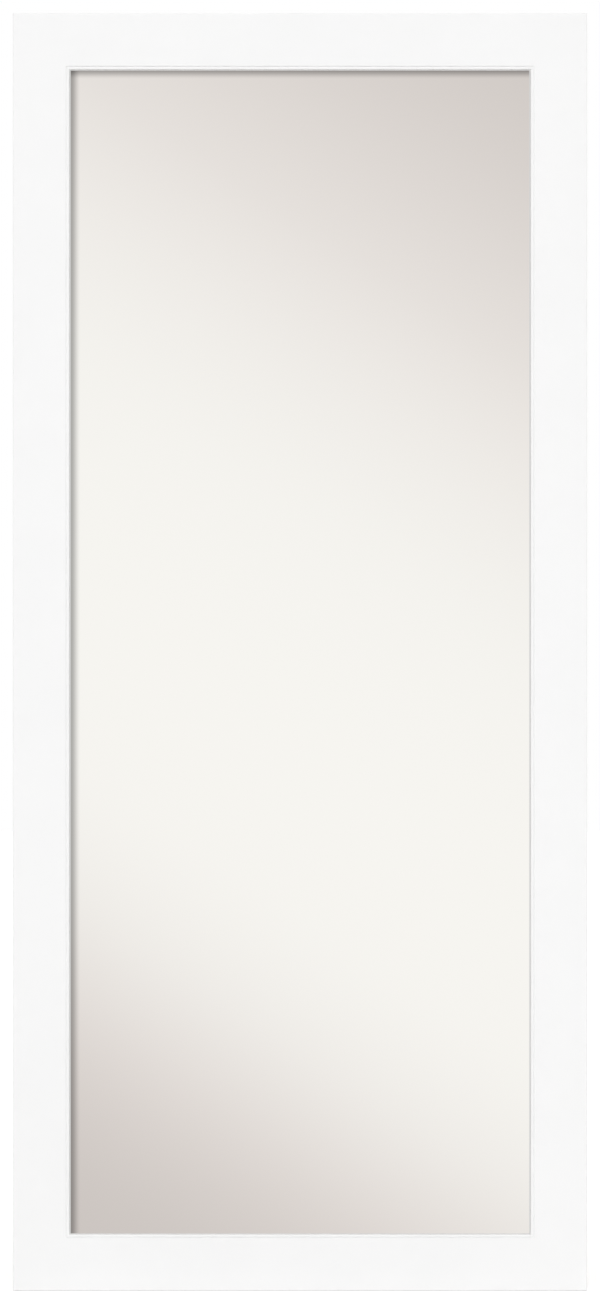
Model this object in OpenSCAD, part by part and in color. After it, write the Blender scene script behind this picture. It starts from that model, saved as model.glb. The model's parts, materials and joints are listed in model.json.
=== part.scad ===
// Over the door mirror: a plain mirror plate in a flat white mitred frame. Two bent
// steel straps hook over the top of a door. Each strap slides in a channel in the back
// of a stile, clamped by two screws through its long slot, which sets the height.
//
// Origin: the middle of the door's top front edge. X runs to the viewer's right,
// Y from the room into the door, Z up. All sizes are in millimetres.

/* [Mirror plate] */
// Width of the mirror plate
plate_w = 508; // [406:1:610]
// Height of the mirror plate
plate_h = 1270; // [1016:1:1524]
// Thickness of the mirror plate
plate_t = 3; // [2:0.5:4]
// Thickness of the safety film on the back of the plate
film_t = 0.2; // [0.1:0.05:0.4]
// Gap between the plate's edge and the wall of the rebate, filled by the spacers
plate_gap = 2; // [1:0.25:3]
// Length of a setting block under the plate
block_l = 60; // [30:1:120]
// Length of a spacer beside the plate
spacer_l = 40; // [20:1:80]
// Distance of the spacers and setting blocks from the corners of the plate
spacer_inset = 110; // [60:1:180]

/* [Frame moulding] */
// Width of the moulding's face
face_w = 61; // [59:1:80]
// Depth of the moulding from front to back
moulding_d = 20; // [19:0.5:28]
// Rounding of the moulding's outer front edge
arris_r = 1.5; // [0.5:0.25:3]
// Rounding of the moulding's outer back edge
back_edge_r = 0.8; // [0.4:0.1:2]
// Width of the groove that runs round the face
groove_w = 1.1; // [0.8:0.1:2]
// Depth of the groove
groove_d = 1.2; // [0.8:0.1:2]
// Rounding of the groove's edges
groove_edge_r = 0.3; // [0.1:0.05:0.4]
// Width of the lip between the groove and the plate
lip_w = 2.5; // [2:0.1:4]
// How far the lip lies below the face
lip_set_back = 0.3; // [0:0.1:0.8]
// Rounding of the lip's inner edge
lip_r = 0.8; // [0.4:0.1:1.2]
// Width of the rebate that holds the plate
rebate_w = 6; // [5:0.25:8]
// Depth of the plate's face below the moulding's face
plate_recess = 9; // [7:0.5:10]

/* [Corner nails] */
// Length of one leg of a corner nail
nail_leg = 4.6; // [3.5:0.1:5.5]
// Thickness of a corner nail
nail_t = 0.7; // [0.5:0.1:1]
// Depth that a corner nail reaches into the wood
nail_h = 10; // [6:0.5:12]
// Depth that a corner nail is sunk below the back
nail_sink = 0.5; // [0:0.1:1]
// Angle of a nail's leg to the mitre
nail_angle = 50; // [40:1:60]

/* [Backing] */
// Thickness of the cushion sheet between the film and the board
sheet_t = 1; // [0.5:0.25:2]
// Thickness of the backing board
board_t = 3; // [2:0.5:4]
// Gap between the board's edge and the wall of the rebate
board_gap = 1; // [0.5:0.25:2]
// Width of a retaining point
point_w = 6; // [4:0.5:9]
// Length of a retaining point
point_l = 15; // [13:0.5:18]
// Length of a point that is driven into the wood
point_grip = 6; // [5:0.25:7]
// Thickness of a retaining point
point_t = 0.5; // [0.4:0.1:0.8]
// Greatest distance between two retaining points
point_pitch = 260; // [180:10:320]

/* [Hook straps] */
// Width of a strap
strap_w = 25; // [20:1:28]
// Thickness of a strap
strap_t = 1.5; // [1.2:0.1:2]
// Inside radius of a strap's bends
bend_r = 2; // [1.5:0.25:3]
// Thickest door that the hooks pass over
door_t = 45; // [35:1:55]
// Length of the hook's tail behind the door
tail_l = 45; // [30:1:70]
// Thickness of the pad inside a hook
pad_t = 1; // [0.5:0.25:1.25]
// Gap left between the pad and the door end of the tail
pad_end = 4; // [2:0.5:8]
// How far the top of the hooks lies below the top of the frame
hook_drop = 1.5; // [0.5:0.25:5]
// Height adjustment of each hook
travel = 150; // [60:1:250]
// Metal left beyond the end of the slot
strap_end = 12; // [8:0.5:20]
// Rounding of the corners at the strap's ends
end_r = 5; // [2:0.5:8]

/* [Strap channels] */
// Depth of the channel in the back of a stile
channel_d = 4.5; // [3.8:0.1:5.5]
// Gap between a strap's edge and the wall of its channel
channel_gap = 0.5; // [0.3:0.1:1]
// Length of channel left below the strap
channel_end = 4; // [2:0.5:10]

/* [Clamp screws] */
// Diameter of the screw's shank
screw_d = 5; // [4:0.5:6]
// Length of the screw under its head
screw_l = 12; // [10:0.5:13]
// Diameter of the screw's head
head_d = 9.5; // [8:0.5:12]
// Height of the screw's head
head_h = 2.5; // [2:0.1:2.8]
// Width across the flats of the screw's hex socket
socket_af = 3; // [2.5:0.5:4]
// Depth of the hex socket
socket_d = 1.4; // [1:0.1:1.8]
// Diameter of the washer
washer_d = 15; // [12:0.5:18]
// Thickness of the washer
washer_t = 1.2; // [0.8:0.1:1.5]
// Diameter of the threaded insert
insert_d = 8; // [7:0.5:9]
// Length of the threaded insert
insert_l = 9.5; // [8.5:0.25:10]
// Distance of the upper screw below the top of the frame
screw_down = 90; // [75:1:150]
// Distance between the two screws of a strap
screw_pitch = 40; // [25:1:60]

/* [Door bumpers] */
// Diameter of a bumper
bumper_d = 20; // [12:1:25]
// Thickness of a bumper, which holds the frame off the door
bumper_t = 3; // [2.5:0.25:6]
// Distance between a bumper and the nearest channel
bumper_side = 12; // [5:1:40]
// Rounding of a bumper's edge
bumper_r = 0.6; // [0.3:0.1:1]

/* [Hidden] */
$fn = 64;

over = 1;             // how far a cutting tool runs past the surface it cuts
slide_gap = 0.25;     // between a strap and each face that it slides on
slot_gap = 0.25;      // between a screw and each side of the slot
seat_gap = 0.05;      // round the inserts, nails and points in the wood
thread_gap = 0.05;    // between a screw and its insert
glue_gap = 0.05;      // adhesive between a pad and its hook
insert_end_gap = 0.5; // below an insert in its hole

// Frame sizes
inner_step = rebate_w - plate_gap;
sight_w = plate_w - 2 * inner_step;
sight_h = plate_h - 2 * inner_step;
outer_w = sight_w + 2 * face_w;
outer_h = sight_h + 2 * face_w;
rebate_open_w = plate_w + 2 * plate_gap;
rebate_open_h = plate_h + 2 * plate_gap;

// Heights
web_z = pad_t + glue_gap;
web_top = web_z + strap_t;
frame_top = web_top + hook_drop;
frame_mid = frame_top - outer_h / 2;
frame_bottom = frame_top - outer_h;

// Depths
back_y = -bumper_t;
front_y = back_y - moulding_d;
plate_y = front_y + plate_recess;
film_y = plate_y + plate_t;
sheet_y = film_y + film_t;
board_y = sheet_y + sheet_t;
point_y = board_y + board_t;
channel_y = back_y - channel_d;
strap_y = channel_y + slide_gap;
washer_y = strap_y + strap_t + slide_gap;
head_y = washer_y + washer_t;
tail_y = door_t + pad_t + glue_gap;

// Straps and their screws
channel_w = strap_w + 2 * channel_gap;
hook_x = outer_w / 2 - face_w / 2;
slot_w = screw_d + 2 * slot_gap;
upper_screw_z = frame_top - screw_down;
lower_screw_z = upper_screw_z - screw_pitch;
slot_bottom_z = lower_screw_z - travel;
strap_bottom_z = slot_bottom_z - slot_w / 2 - strap_end;
channel_bottom_z = strap_bottom_z - channel_end;

// Corner nails, at these distances from both outer edges of the frame
nail_insets = [
  (face_w - channel_w) / 4,
  ((face_w + channel_w) / 2 + face_w - rebate_w) / 2
];

// Bumpers
bumper_x = hook_x - channel_w / 2 - bumper_side - bumper_d / 2;
bumper_zs = [frame_bottom + face_w / 2, frame_top - face_w / 2];

// Colours
frame_white = [0.97, 0.97, 0.96];
zinc = [0.74, 0.75, 0.77];
strap_steel = [0.82, 0.82, 0.83];
soft_black = [0.16, 0.16, 0.17];

// Centres of equal steps no longer than pitch along a length
function spread(length, pitch) =
  let (n = max(2, ceil(length / pitch)))
  [for (i = [0 : n - 1]) ((i + 0.5) / n - 0.5) * length];

// What is cut away to round the corner at the origin, seen from inside it
module corner_cut(r) {
  difference() {
    translate([-over, -over]) square(r + over);
    translate([r, r]) circle(r);
  }
}

// Stands a flat shape up in the XZ plane, with its thickness from y0 towards +Y
module upright(y0, depth) {
  translate([0, y0 + depth, 0]) rotate([90, 0, 0]) linear_extrude(depth) children();
}

// Lays a cylinder along Y, from y0 towards +Y
module rod_y(d, y0, length) {
  translate([0, y0, 0]) rotate([-90, 0, 0]) cylinder(d = d, h = length);
}

module at_hook(side) {
  translate([side * hook_x, 0, 0]) children();
}

module at_screws(side) {
  for (z = [upper_screw_z, lower_screw_z]) translate([side * hook_x, 0, z]) children();
}

// Puts a shape that lies along a mitre at each nail's place in the four corners
module at_nails() {
  for (sx = [-1, 1], sz = [-1, 1], inset = nail_insets)
    translate([sx * (outer_w / 2 - inset), 0, frame_mid + sz * (outer_h / 2 - inset)])
      rotate([0, -atan2(sz, sx), 0]) children();
}

// Puts a shape that points out of the opening at each retaining point's place
module at_points() {
  for (side = [-1, 1], z = spread(rebate_open_h, point_pitch))
    translate([side * rebate_open_w / 2, 0, frame_mid + z])
      rotate([0, side > 0 ? 0 : 180, 0]) children();
  for (side = [-1, 1], x = spread(rebate_open_w, point_pitch))
    translate([x, 0, frame_mid + side * rebate_open_h / 2])
      rotate([0, -90 * side, 0]) children();
}

// ---- Frame ----

// Cross-section: X runs in from the frame's outer edge, Y back from its face
module moulding_section() {
  groove_x = face_w - lip_w - groove_w;
  difference() {
    square([face_w, moulding_d]);
    corner_cut(arris_r);
    translate([0, moulding_d]) mirror([0, 1]) corner_cut(back_edge_r);
    translate([groove_x, -over]) square([groove_w, groove_d - groove_w / 2 + over]);
    translate([groove_x + groove_w / 2, groove_d - groove_w / 2]) circle(d = groove_w);
    translate([groove_x, 0]) mirror([1, 0]) corner_cut(groove_edge_r);
    translate([groove_x + groove_w, lip_set_back]) corner_cut(groove_edge_r);
    translate([face_w - lip_w, -over]) square([lip_w + over, lip_set_back + over]);
    translate([face_w, lip_set_back]) mirror([1, 0]) corner_cut(lip_r);
    translate([face_w - rebate_w, plate_recess]) square([rebate_w + over, moulding_d]);
  }
}

// One mitred length: its outer edge lies on the X axis and its face on the plane y = 0
module mitred_length(length) {
  reach = face_w + over;
  intersection() {
    rotate([0, 90, 0]) linear_extrude(length, center = true) moulding_section();
    upright(-over, moulding_d + 2 * over) polygon([
      [-length / 2 - over, over],
      [length / 2 + over, over],
      [length / 2 - reach, -reach],
      [-length / 2 + reach, -reach]
    ]);
  }
}

// A corner nail's section, with its bend on the side that faces the frame's corner
module nail_section(gap) {
  for (side = [-1, 1])
    rotate(side * (180 - nail_angle))
      translate([-nail_t / 2 - gap, -nail_t / 2 - gap])
        square([nail_leg + 2 * gap, nail_t + 2 * gap]);
}

// A retaining point's outline, with its sharp end towards +X in the wood
module point_outline(gap) {
  half = point_w / 2 + gap;
  inner = point_grip - point_l;
  polygon([
    [inner - gap, -half],
    [point_grip - half, -half],
    [point_grip + gap, 0],
    [point_grip - half, half],
    [inner - gap, half]
  ]);
}

// Everything cut out of the back of the frame
module frame_cuts() {
  channel_h = frame_top + over - channel_bottom_z;
  for (side = [-1, 1]) {
    at_hook(side)
      translate([-channel_w / 2, channel_y, channel_bottom_z])
        cube([channel_w, channel_d + over, channel_h]);
    at_screws(side)
      rod_y(insert_d + 2 * seat_gap, channel_y - insert_l - insert_end_gap,
            insert_l + insert_end_gap + over);
  }
  at_nails()
    upright(back_y - nail_sink - nail_h - seat_gap, nail_h + nail_sink + over)
      nail_section(seat_gap);
  at_points()
    upright(point_y - seat_gap, point_t + 2 * seat_gap) point_outline(seat_gap);
}

// Sets a mitred length in the frame, turned about Y, with the back's cuts taken out
module frame_member(edge, turn, length) {
  color(frame_white) difference() {
    translate(edge) rotate([0, turn, 0]) mitred_length(length);
    frame_cuts();
  }
}

module top_rail() {
  frame_member([0, front_y, frame_top], 0, outer_w);
}

module bottom_rail() {
  frame_member([0, front_y, frame_bottom], 180, outer_w);
}

module left_stile() {
  frame_member([-outer_w / 2, front_y, frame_mid], -90, outer_h);
}

module right_stile() {
  frame_member([outer_w / 2, front_y, frame_mid], 90, outer_h);
}

module corner_nails() {
  color(zinc) at_nails() upright(back_y - nail_sink - nail_h, nail_h) nail_section(0);
}

// ---- Mirror plate and its backing ----

// A flat sheet in the middle of the frame
module sheet(w, h, y0, thickness) {
  translate([-w / 2, y0, frame_mid - h / 2]) cube([w, thickness, h]);
}

module mirror_plate() {
  color([0.86, 0.85, 0.82]) sheet(plate_w, plate_h, plate_y, plate_t);
}

module safety_film() {
  color([0.55, 0.60, 0.66]) sheet(plate_w, plate_h, film_y, film_t);
}

module setting_blocks() {
  color(soft_black) for (side = [-1, 1])
    translate([
      side * (plate_w / 2 - spacer_inset) - block_l / 2,
      plate_y,
      frame_mid - rebate_open_h / 2
    ]) cube([block_l, plate_t, plate_gap]);
}

module side_spacers() {
  color(soft_black) for (side = [-1, 1]) {
    translate([
      side * (plate_w / 2 - spacer_inset) - spacer_l / 2,
      plate_y,
      frame_mid + plate_h / 2
    ]) cube([spacer_l, plate_t, plate_gap]);
    for (end = [-1, 1])
      translate([
        side * (plate_w + plate_gap) / 2 - plate_gap / 2,
        plate_y,
        frame_mid + end * (plate_h / 2 - spacer_inset) - spacer_l / 2
      ]) cube([plate_gap, plate_t, spacer_l]);
  }
}

module cushion_sheet() {
  color([0.93, 0.94, 0.95]) sheet(plate_w, plate_h, sheet_y, sheet_t);
}

module backing_board() {
  board_w = rebate_open_w - 2 * board_gap;
  board_h = rebate_open_h - 2 * board_gap;
  color([0.52, 0.38, 0.25]) sheet(board_w, board_h, board_y, board_t);
}

module retaining_points() {
  color(zinc) at_points() upright(point_y, point_t) point_outline(0);
}

// ---- Clamp screws ----

// Threaded insert, flush with the channel's floor, with a driver slot across its mouth
module inserts(side) {
  driver_slot = [insert_d + 2 * over, 1.2, 1.2];
  color([0.80, 0.66, 0.36]) at_screws(side) difference() {
    rod_y(insert_d, channel_y - insert_l, insert_l);
    rod_y(screw_d + 2 * thread_gap, channel_y - insert_l - over, insert_l + 2 * over);
    translate([0, channel_y, 0]) cube(driver_slot, center = true);
  }
}

module washers(side) {
  color(zinc) at_screws(side) difference() {
    rod_y(washer_d, washer_y, washer_t);
    rod_y(screw_d + 2 * slot_gap, washer_y - over, washer_t + 2 * over);
  }
}

// Half of a domed head's section: X from the axis out, Y up from its seat
module head_section() {
  r = head_d / 2;
  dome_r = (r * r + head_h * head_h) / (2 * head_h);
  intersection() {
    translate([0, head_h - dome_r]) circle(dome_r);
    square([r, head_h]);
  }
}

module clamp_screws(side) {
  color(zinc) at_screws(side) difference() {
    union() {
      rod_y(screw_d, head_y - screw_l, screw_l + head_h / 2);
      translate([0, head_y, 0]) rotate([-90, 0, 0]) rotate_extrude() head_section();
    }
    translate([0, head_y + head_h - socket_d, 0])
      rotate([-90, 0, 0]) cylinder(d = socket_af / cos(30), h = socket_d + over, $fn = 6);
  }
}

module left_inserts() { inserts(-1); }
module right_inserts() { inserts(1); }
module left_washers() { washers(-1); }
module right_washers() { washers(1); }
module left_clamp_screws() { clamp_screws(-1); }
module right_clamp_screws() { clamp_screws(1); }

// ---- Door bumpers ----

module bumper_section() {
  difference() {
    square([bumper_d / 2, bumper_t]);
    translate([bumper_d / 2, bumper_t]) mirror([1, 0]) mirror([0, 1]) corner_cut(bumper_r);
  }
}

module door_bumpers() {
  color(soft_black) for (side = [-1, 1], z = bumper_zs)
    translate([side * bumper_x, back_y, z]) rotate([-90, 0, 0]) rotate_extrude() bumper_section();
}

// ---- Hooks ----

// Stands a side view, drawn with X as depth and Y as height, across a strap's width
module across_strap(width) {
  rotate([90, 0, 90]) linear_extrude(width, center = true) children();
}

// The region under an arch with rounded top corners
module arch(y0, y1, z0, z1, r) {
  difference() {
    translate([y0, z0]) square([y1 - y0, z1 - z0]);
    translate([y0, z1]) mirror([0, 1]) corner_cut(r);
    translate([y1, z1]) mirror([1, 0]) mirror([0, 1]) corner_cut(r);
  }
}

// Side view of a strap: up the channel, back over the door and down behind it
module hook_side_view() {
  difference() {
    arch(strap_y, tail_y + strap_t, strap_bottom_z, web_top, bend_r + strap_t);
    arch(strap_y + strap_t, tail_y, strap_bottom_z - over, web_z, bend_r);
    translate([tail_y - over, strap_bottom_z - over])
      square([strap_t + 2 * over, -tail_l - strap_bottom_z + over]);
  }
}

// What rounds the two lower corners of a strap that ends at height z
module strap_end_cut(z, y0) {
  for (side = [-1, 1])
    translate([side * strap_w / 2, 0, z])
      upright(y0 - over, strap_t + 2 * over) mirror([side > 0 ? 1 : 0, 0]) corner_cut(end_r);
}

// The long slot, with true round ends
module slot_cut() {
  depth = strap_t + 2 * over;
  for (z = [slot_bottom_z, upper_screw_z])
    translate([0, 0, z]) rod_y(slot_w, strap_y - over, depth);
  translate([-slot_w / 2, strap_y - over, slot_bottom_z])
    cube([slot_w, depth, upper_screw_z - slot_bottom_z]);
}

module hook(side) {
  color(strap_steel) at_hook(side) difference() {
    across_strap(strap_w) hook_side_view();
    slot_cut();
    strap_end_cut(strap_bottom_z, strap_y);
    strap_end_cut(-tail_l, tail_y);
  }
}

// The pad lines the hook from the door's front edge round to the end of its tail
module pad_side_view() {
  difference() {
    intersection() {
      arch(0, door_t + pad_t, -tail_l + pad_end, pad_t, bend_r - glue_gap);
      translate([bend_r, -tail_l]) square([door_t, tail_l + pad_t]);
    }
    translate([-over, -tail_l]) square([door_t + over, tail_l]);
  }
}

module hook_pad(side) {
  color(soft_black) at_hook(side) across_strap(strap_w) pad_side_view();
}

module left_hook() { hook(-1); }
module right_hook() { hook(1); }
module left_hook_pad() { hook_pad(-1); }
module right_hook_pad() { hook_pad(1); }

top_rail();
bottom_rail();
left_stile();
right_stile();
corner_nails();
mirror_plate();
safety_film();
setting_blocks();
side_spacers();
cushion_sheet();
backing_board();
retaining_points();
left_inserts();
right_inserts();
left_washers();
right_washers();
left_clamp_screws();
right_clamp_screws();
door_bumpers();
left_hook();
right_hook();
left_hook_pad();
right_hook_pad();
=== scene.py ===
# %% [markdown]
# # An over the door mirror
#
# A tall mirror in a flat white mitred frame, hung on two steel straps that hook over the
# top of a door. The solids already exist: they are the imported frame, in metres, with the
# origin at the middle of the door's top front edge, X to the viewer's right, Y into the
# door and Z up. This script gives them their finishes, makes the small repeated fixings,
# the hooks and the soft pads as finer meshes, and sets up the floor, the light and the
# camera.

import json
import math

import bmesh
import bpy
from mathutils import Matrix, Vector


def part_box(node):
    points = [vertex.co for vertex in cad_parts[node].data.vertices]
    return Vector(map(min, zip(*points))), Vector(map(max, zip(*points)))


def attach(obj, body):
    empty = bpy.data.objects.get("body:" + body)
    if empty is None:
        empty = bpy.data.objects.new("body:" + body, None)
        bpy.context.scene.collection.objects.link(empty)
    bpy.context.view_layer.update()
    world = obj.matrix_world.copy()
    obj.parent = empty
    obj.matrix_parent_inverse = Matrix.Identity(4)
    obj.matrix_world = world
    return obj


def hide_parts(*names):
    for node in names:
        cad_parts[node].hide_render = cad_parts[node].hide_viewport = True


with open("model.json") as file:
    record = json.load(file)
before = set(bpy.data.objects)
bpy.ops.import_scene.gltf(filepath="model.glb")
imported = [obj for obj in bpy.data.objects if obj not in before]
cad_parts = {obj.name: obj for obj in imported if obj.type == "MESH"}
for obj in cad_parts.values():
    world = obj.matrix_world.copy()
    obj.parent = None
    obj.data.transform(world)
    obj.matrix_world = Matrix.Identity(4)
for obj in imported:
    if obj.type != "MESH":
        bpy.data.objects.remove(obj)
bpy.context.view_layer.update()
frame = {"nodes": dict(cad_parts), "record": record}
scene = bpy.context.scene
scene.view_settings.view_transform = "Standard"

# %% [markdown]
# ## Sizes that everything else is worked out from
#
# The mirror's own sizes aren't typed here again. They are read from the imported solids, so
# the finishes and the added pieces stay in register with them. Only what a solid's box
# can't tell, such as a strap's bend or a screw's thread, is typed where it is made.

# %% Read the mirror's own sizes
MM = 0.001
top_low, top_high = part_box("top_rail")
stile_low, stile_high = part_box("right_stile")
plate_low, plate_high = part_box("mirror_plate")
board_low, board_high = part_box("backing_board")

frame_width = top_high.x - top_low.x
frame_height = stile_high.z - stile_low.z
face_width = top_high.z - top_low.z
front_y = top_low.y
back_y = top_high.y
middle_z = (stile_low.z + stile_high.z) / 2
sight_width = frame_width - 2 * face_width
sight_height = frame_height - 2 * face_width
print(f"frame {frame_width / MM:.1f} x {frame_height / MM:.1f} mm, face {face_width / MM:.1f} mm")
print(f"visible mirror {sight_width / MM:.1f} x {sight_height / MM:.1f} mm")

# %% [markdown]
# ## The camera
#
# The photograph looks straight at the mirror with almost no perspective. A short lens close
# by would show the inner sides of the frame, so a long lens looks from far away. The
# picture is 600 x 1304 pixels and the frame is 1278 of them high, which sets how much of
# the world the picture takes in, and so the camera's distance.

# %% Camera
PICTURE_HEIGHT = 1304
FRAME_HEIGHT_IN_PICTURE = 1278
LENS_MM = 300
SENSOR_MM = 36
SEES_AS_FAR_AS = 200

view_height = frame_height / FRAME_HEIGHT_IN_PICTURE * PICTURE_HEIGHT
camera_distance = view_height * LENS_MM / SENSOR_MM
camera_data = bpy.data.cameras.new("camera")
camera_data.lens = LENS_MM
camera_data.sensor_width = SENSOR_MM
camera_data.clip_end = SEES_AS_FAR_AS
camera = bpy.data.objects.new("camera", camera_data)
camera.location = (0, front_y - camera_distance, middle_z)
camera.rotation_euler = (math.radians(90), 0, 0)
scene.collection.objects.link(camera)
scene.camera = camera
print(f"camera {camera_distance:.2f} m in front of the frame's face")

# %% [markdown]
# ## Background
#
# The photograph's ground is pure white with no horizon. A curved paper backdrop could give
# that, but the world is simpler: it is white for the camera and for reflections, and a
# little dimmer as light, so that it doesn't burn the pale frame out.
#
# The world and all materials are node trees. Making a node, setting its options and wiring
# its inputs takes many lines in plain bpy, so one helper does it: an input that is given a
# socket is linked to it, and any other value is written straight into the input.

# %% World
WORLD_LIGHT = 0.65


def add_node(tree, kind, inputs=None, **options):
    node = tree.nodes.new(kind)
    for option, value in options.items():
        setattr(node, option, value)
    for key, value in (inputs or {}).items():
        if isinstance(value, bpy.types.NodeSocket):
            tree.links.new(value, node.inputs[key])
        else:
            node.inputs[key].default_value = value
    return node


def maths(tree, operation, first, second=0.0, third=0.0):
    node = add_node(tree, "ShaderNodeMath", {0: first, 1: second, 2: third}, operation=operation)
    return node.outputs[0]


world = bpy.data.worlds.new("white_studio")
scene.world = world
world.use_nodes = True
sky = world.node_tree
sky.nodes.clear()
ray = add_node(sky, "ShaderNodeLightPath").outputs
seen = maths(sky, "MAXIMUM", ray["Is Camera Ray"], ray["Is Glossy Ray"])
seen = maths(sky, "MAXIMUM", seen, ray["Is Transmission Ray"])
strength = maths(sky, "MULTIPLY_ADD", seen, 1.0 - WORLD_LIGHT, WORLD_LIGHT)
background = add_node(sky, "ShaderNodeBackground", {"Color": (1, 1, 1, 1), "Strength": strength})
add_node(sky, "ShaderNodeOutputWorld", {"Surface": background.outputs[0]})
print(f"world white to look at, and {WORLD_LIGHT} as light")

# %% [markdown]
# ## Floor
#
# The real mirror hangs on its door, but a picture of it needs something that catches its
# shadow: a pale matt plane under the frame. A small glow that only the camera sees lifts it
# to white where no shadow falls, so the shadow stays while the floor's far edge melts into
# the background. Reflected rays go through it, because what the mirror shows is set up
# apart, in the steps that follow.

# %% Floor
FLOOR_SIZE = 60.0
FLOOR_GREY = 0.92
FLOOR_GLOW = 0.27


def new_material(name):
    material = bpy.data.materials.new(name)
    material.use_nodes = True
    material.node_tree.nodes.clear()
    print(f"material {name}")
    return material, material.node_tree


def clear_unless(tree, mask, shader):
    """Shows the shader where the mask is 1, and lets light through where it is 0."""
    clear = add_node(tree, "ShaderNodeBsdfTransparent").outputs[0]
    mixed = add_node(tree, "ShaderNodeMixShader", {0: mask, 1: clear, 2: shader})
    add_node(tree, "ShaderNodeOutputMaterial", {"Surface": mixed.outputs[0]})


def pale_floor():
    material, tree = new_material("pale_floor")
    ray = add_node(tree, "ShaderNodeLightPath").outputs
    matt = add_node(tree, "ShaderNodeBsdfDiffuse", {"Color": (FLOOR_GREY,) * 3 + (1,)})
    glow_strength = maths(tree, "MULTIPLY", ray["Is Camera Ray"], FLOOR_GLOW)
    glow = add_node(tree, "ShaderNodeEmission", {"Strength": glow_strength})
    lit = add_node(tree, "ShaderNodeAddShader", {0: matt.outputs[0], 1: glow.outputs[0]})
    clear_unless(tree, maths(tree, "SUBTRACT", 1.0, ray["Is Glossy Ray"]), lit.outputs[0])
    return material


def level_square(z):
    half = FLOOR_SIZE / 2
    return [(x * half, y * half, z) for x, y in ((-1, -1), (1, -1), (1, 1), (-1, 1))]


def flat_stage(name, corners, material):
    mesh = bpy.data.meshes.new(name)
    mesh.from_pydata(corners, [], [range(len(corners))])
    mesh.materials.append(material)
    piece = bpy.data.objects.new(name, mesh)
    scene.collection.objects.link(piece)


floor_z = stile_low.z
flat_stage("floor", level_square(floor_z), pale_floor())
print(f"floor at z = {floor_z:.3f} m")

# %% [markdown]
# ## What the mirror sees
#
# A mirror has no colour of its own: the soft diagonal light across it in the photograph is
# a reflection. Lamps could be hung behind the camera until it looks right, but then they
# would light the frame too. So a big painted board stands there, which only reflected rays
# see. The camera finds each point of the board in the plate, in the same direction from the
# middle but nearer to it, because the board is further off. Dividing the board's
# coordinates by the ratio of the two distances lets its pattern be drawn in the mirror's
# own sizes.

# %% Place of the board
BOARD_BEHIND_CAMERA = 1.2
BOARD_WIDTH, BOARD_HEIGHT = 60.0, 20.0

board_y = camera.location.y - BOARD_BEHIND_CAMERA
plate_distance = plate_low.y - camera.location.y
board_ratio = 1 + (plate_low.y - board_y) / plate_distance
board_corners = [
    (x * BOARD_WIDTH / 2, board_y, middle_z + z * BOARD_HEIGHT / 2)
    for x, z in ((-1, -1), (1, -1), (1, 1), (-1, 1))
]
print(f"board {board_ratio:.3f} times the mirror's own sizes, at y = {board_y:.2f} m")

# %% [markdown]
# The pattern starts with a broad pale band that falls to the right, and a warm grey on both
# sides of it. A colour ramp draws it from a few tones, smoothly.

# %% Diagonal band
BAND_SLOPE = 0.65
BAND_REACH = 0.80
# Distance across the band, in metres from the mirror's middle, and the screen tone there
BAND_TONES = [
    (-0.80, 198), (-0.69, 202), (-0.56, 219), (-0.43, 237), (-0.28, 245),
    (0.02, 244), (0.23, 242), (0.47, 227), (0.80, 199),
]
# How far red, green and blue lie from the tone, in the pale parts and in the dark ones
WARM_PALE, WARM_DARK = (2, 0, -4), (5, -2, -6)
PALE_TONE, DARK_TONE = 241, 223


def linear(red, green, blue):
    """A colour given as screen values from 0 to 255, as the linear colour that nodes take."""
    levels = (red / 255, green / 255, blue / 255)
    parts = [v / 12.92 if v <= 0.04045 else ((v + 0.055) / 1.055) ** 2.4 for v in levels]
    return (*parts, 1.0)


def warm_tone(tone):
    """A grey of that screen tone, warmer the darker it is."""
    dark = min(1.0, max(0.0, (PALE_TONE - tone) / (PALE_TONE - DARK_TONE)))
    casts = (pale + (deep - pale) * dark for pale, deep in zip(WARM_PALE, WARM_DARK))
    return linear(*(tone + cast for cast in casts))


def diagonal_band(tree, across, up):
    """The band's colour, folded back and forth beyond the part that the camera sees."""
    tilt = maths(tree, "MULTIPLY_ADD", across, BAND_SLOPE, up)
    along = maths(tree, "MULTIPLY_ADD", tilt, 0.5 / BAND_REACH, 0.5)
    along = maths(tree, "PINGPONG", along, 1.0)
    ramp = add_node(tree, "ShaderNodeValToRGB", {"Fac": along})
    ramp.color_ramp.interpolation = "B_SPLINE"
    stops = ramp.color_ramp.elements
    stops.remove(stops[-1])
    for index, (distance, tone) in enumerate(BAND_TONES):
        share = (distance / BAND_REACH + 1) / 2
        stop = stops.new(share) if index else stops[0]
        stop.position = share
        stop.color = warm_tone(tone)
    return ramp.outputs[0]


print(f"band of {len(BAND_TONES)} tones over {2 * BAND_REACH:.2f} m")

# %% [markdown]
# Over the band comes painted shade, which the mirror shows along the plate as the deep
# frame's shadow: a narrow dark strip of painted shadow that meets the left and the top edge
# of the visible mirror, and a fine grey line of painted shade just inside all four edges, for
# the lip's shaded underside. Each is a smooth step of the distance from its edge.

# %% Painted shade along the edges
# How far inside the left and the top edge the painted shadows start and end, in metres
LEFT_PAINTED_SHADOW = (1.4 * MM, 12.5 * MM)
TOP_PAINTED_SHADOW = (0.3 * MM, 10.3 * MM)
PAINTED_SHADOW_DARKEST = 0.437
# The fine grey line of painted shade inside all four edges: its screen tone, where it
# fades, and how much less of it shows at the top and bottom, where the lip hides more
SHADE_LINE_TONE = 210
SHADE_LINE_FADE = (1.2 * MM, 1.8 * MM)
SHADE_LINE_HIDDEN_AT_ENDS = 0.6 * MM
FRAMED_BEYOND = 6 * MM


def fade(tree, value, start, end, low=0.0, high=1.0):
    """low where the value is start or less, high where it is end or more, and smooth between."""
    limits = {"Value": value, "From Min": start, "From Max": end, "To Min": low, "To Max": high}
    node = add_node(tree, "ShaderNodeMapRange", limits, interpolation_type="SMOOTHSTEP")
    return node.outputs["Result"]


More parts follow.
